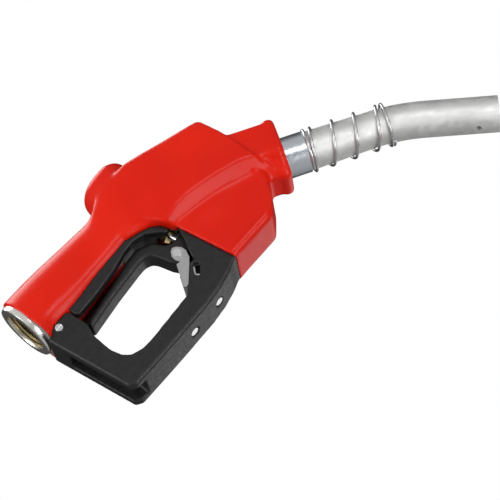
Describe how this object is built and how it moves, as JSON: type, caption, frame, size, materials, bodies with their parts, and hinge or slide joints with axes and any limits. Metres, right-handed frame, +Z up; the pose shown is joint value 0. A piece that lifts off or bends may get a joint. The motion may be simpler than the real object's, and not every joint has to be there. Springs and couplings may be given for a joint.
{
  "type": "fuel nozzle",
  "caption": "Automatic shut-off fuel nozzle with a hose inlet, covered grip, squeeze lever in a hand guard, hold-open clip and bent spout with an anchor spring.",
  "frame": {"origin": "centre of the hose inlet's mouth", "axes": "+X forward along the inlet and grip, +Z up towards the poppet cap, Y across; the nozzle is symmetric about Y = 0"},
  "size_m": [0.3091, 0.0484, 0.1845],
  "materials": {
    "red_vinyl": "glossy moulded vinyl",
    "black_moulding": "satin, fine grain",
    "cast_body": "die cast",
    "spout_metal": "satin, drawn tube",
    "ferrule_metal": "smooth turned",
    "ring_metal": "turned",
    "clip_steel": "stamped plate",
    "spring_steel": "drawn wire",
    "pin_steel": "ground",
    "brass_fittings": "turned",
    "seal_rubber": "moulded",
    "valve_plastic": "moulded acetal"
  },
  "bodies": {
    "nozzle": {"body_casting": "cast_body", "inlet_ring": "ring_metal", "inlet_strainer": "pin_steel", "scuff_cover": "red_vinyl", "hand_guard": "black_moulding", "grip_insulator": "black_moulding", "guard_screws": "pin_steel", "guard_front_bolt": "pin_steel", "hold_open_rack": "clip_steel", "rack_rivets": "pin_steel", "poppet_cap": "cast_body", "cap_o_ring": "seal_rubber", "poppet_spring": "spring_steel", "packing_nut": "brass_fittings", "stem_seal": "seal_rubber", "diaphragm": "seal_rubber", "vacuum_cap": "cast_body", "diaphragm_spring": "spring_steel", "latch_ring": "pin_steel", "plunger_bushing": "brass_fittings", "plunger_spring": "spring_steel", "spout_ferrule": "ferrule_metal", "spout": "spout_metal", "spout_o_ring": "seal_rubber", "spout_spring": "spring_steel", "vent_tube": "valve_plastic", "check_valve_seat": "brass_fittings", "check_spring": "spring_steel", "check_guide": "valve_plastic"},
    "main_valve": {"poppet": "brass_fittings", "poppet_seal": "seal_rubber", "main_stem": "pin_steel"},
    "shut_off_plunger": {"plunger": "pin_steel", "latch_balls": "pin_steel", "lever_pin": "pin_steel"},
    "lever": {"lever": "black_moulding", "clip_rivet": "pin_steel"},
    "hold_open_clip": {"hold_open_clip": "clip_steel"},
    "latch": {"latch_pin": "pin_steel", "diaphragm_plate": "pin_steel"},
    "check_valve": {"check_poppet": "valve_plastic"}
  },
  "joints": [
    {"name": "shut_off_drop", "type": "slide", "parent": "nozzle", "child": "shut_off_plunger", "axis": [0.3107, 0, 0.9505], "range_m": [-0.006, 0], "stiffness_N_per_m": 400, "springref_m": 0.002, "deforming": ["plunger_spring"]},
    {"name": "lever_squeeze", "type": "hinge", "parent": "shut_off_plunger", "child": "lever", "pos_m": [0.133, 0, -0.043], "axis": [0, 1, 0], "range_deg": [0, 3.5], "stiffness_Nm_per_rad": 8, "springref_deg": -2.86},
    {"name": "clip_swing", "type": "hinge", "parent": "lever", "child": "hold_open_clip", "pos_m": [0.0966, 0, -0.0436], "axis": [0, 1, 0], "range_deg": [-25, 15], "stiffness_Nm_per_rad": 0.01},
    {"name": "main_valve_lift", "type": "slide", "parent": "nozzle", "child": "main_valve", "axis": [0, 0, 1], "range_m": [0, 0.0016], "stiffness_N_per_m": 60, "springref_m": -0.002, "deforming": ["poppet_spring"]},
    {"name": "latch_release", "type": "slide", "parent": "nozzle", "child": "latch", "axis": [0.3107, 0, 0.9505], "range_m": [0, 0.0025], "stiffness_N_per_m": 300, "springref_m": -0.001, "deforming": ["diaphragm_spring", "diaphragm"]},
    {"name": "check_open", "type": "slide", "parent": "nozzle", "child": "check_valve", "axis": [0.8453, 0, -0.5344], "range_m": [0, 0.004], "stiffness_N_per_m": 200, "springref_m": -0.002, "deforming": ["check_spring"]}
  ],
  "couplings": [
    {"joint": "main_valve_lift", "follows": "lever_squeeze", "m_per_rad": 0.026}
  ]
}
